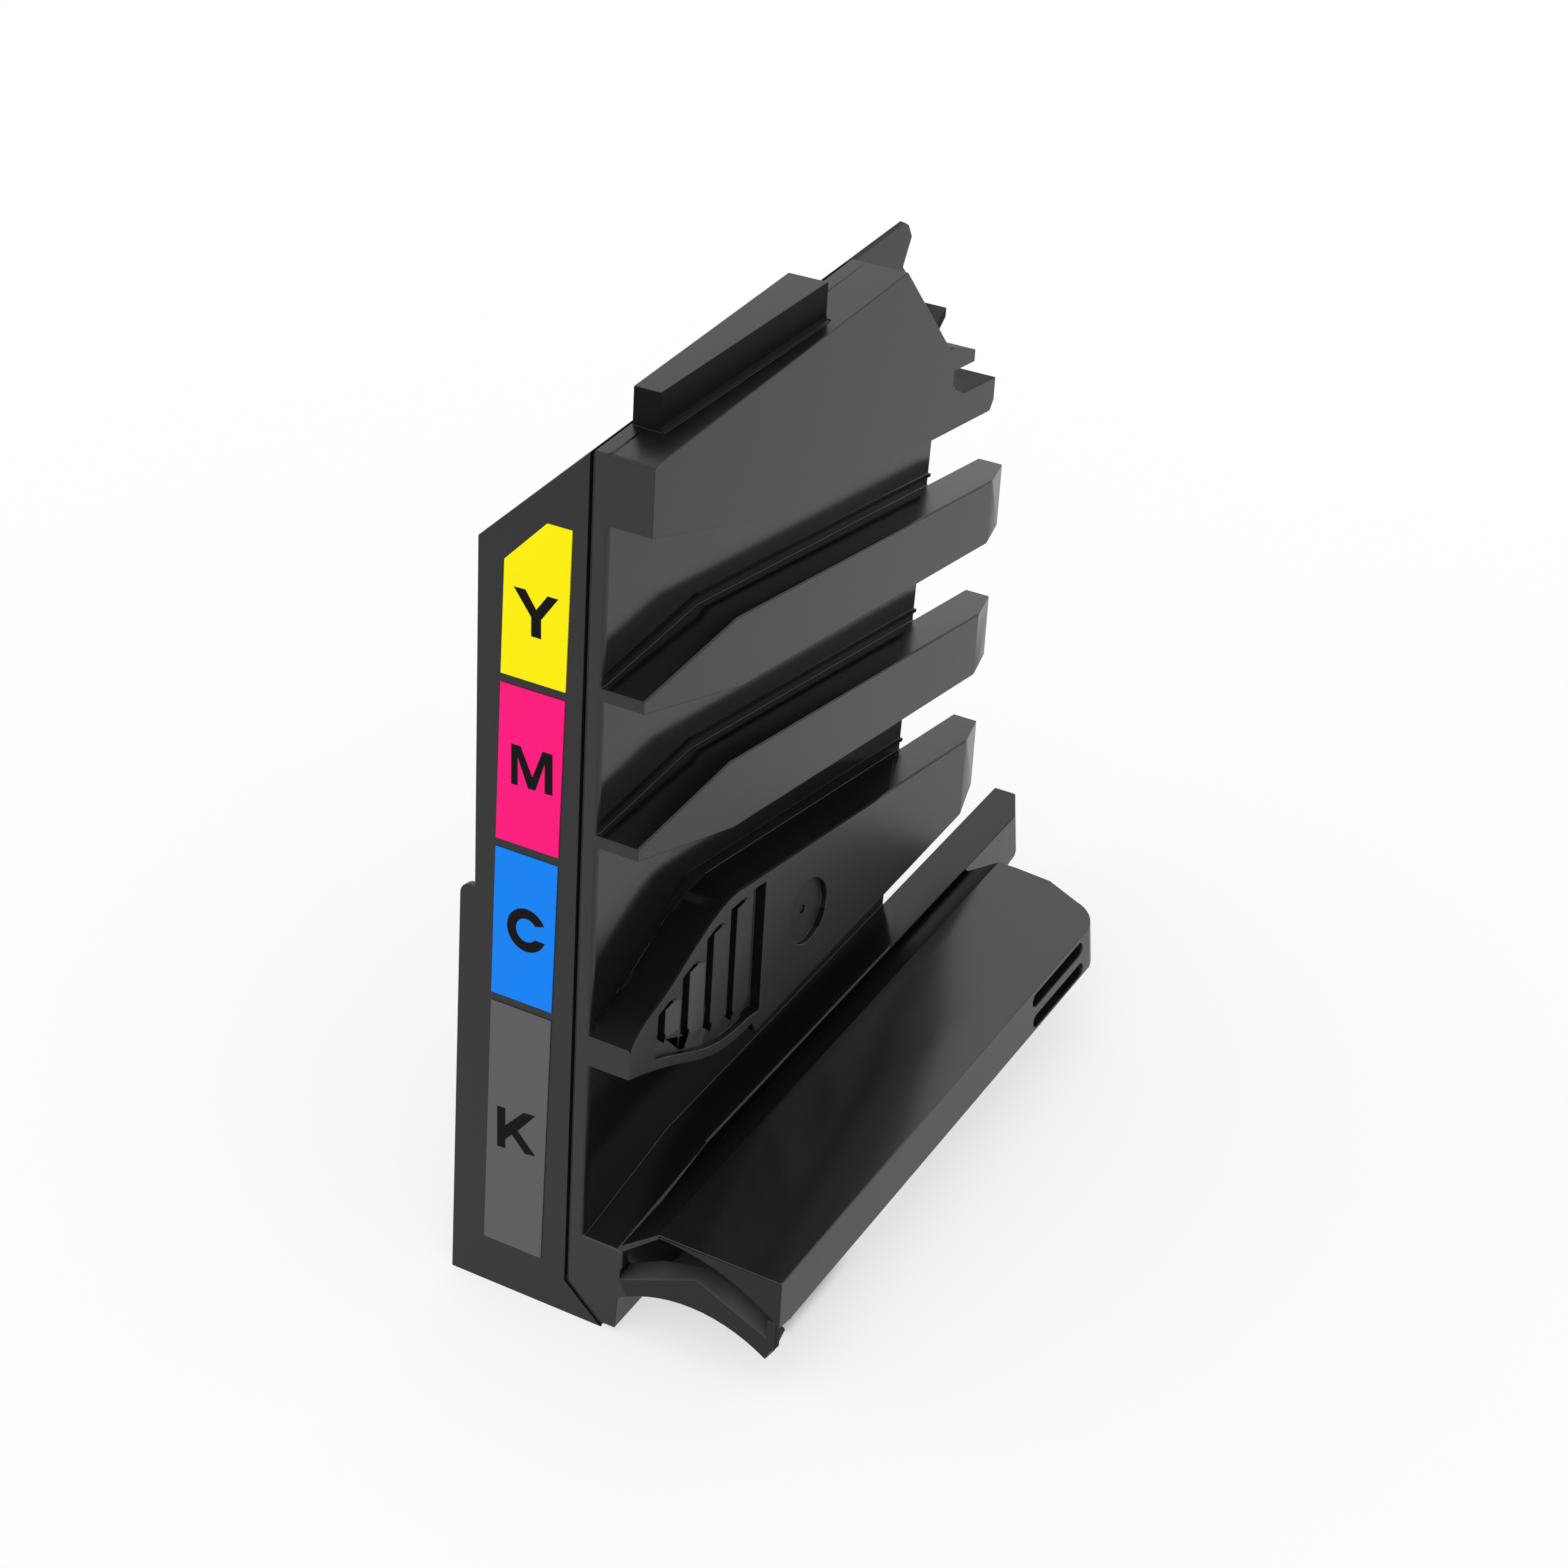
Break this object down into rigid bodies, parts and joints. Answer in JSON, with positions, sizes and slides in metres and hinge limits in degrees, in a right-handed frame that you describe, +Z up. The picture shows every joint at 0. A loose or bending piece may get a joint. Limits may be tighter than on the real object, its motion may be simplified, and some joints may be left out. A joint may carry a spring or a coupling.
{
  "type": "waste toner container",
  "caption": "Grey plastic waste toner container with a leaning front face, colour stickers lettered Y, M, C and K, four cartridge guide rails, a side tray and a pull bar",
  "frame": {"origin": "middle of the bounding box in plan, at the level foot", "axes": "X to the right seen from the sticker side, Y to the back, Z up; the foot stands level and the front face leans back 12.3 degrees"},
  "size_m": [0.073, 0.159, 0.1737],
  "materials": {
    "dark_grey_abs": "fine satin",
    "grey_foam": "open cell",
    "label_yellow": "semi gloss print",
    "label_magenta": "semi gloss print",
    "label_cyan": "semi gloss print",
    "label_grey": "semi gloss print"
  },
  "bodies": {
    "root": {"reservoir_shell": "dark_grey_abs", "rail_housing": "dark_grey_abs", "inlet_seal": "grey_foam", "label_yellow": "label_yellow", "label_magenta": "label_magenta", "label_cyan": "label_cyan", "label_black": "label_grey"}
  },
  "joints": []
}
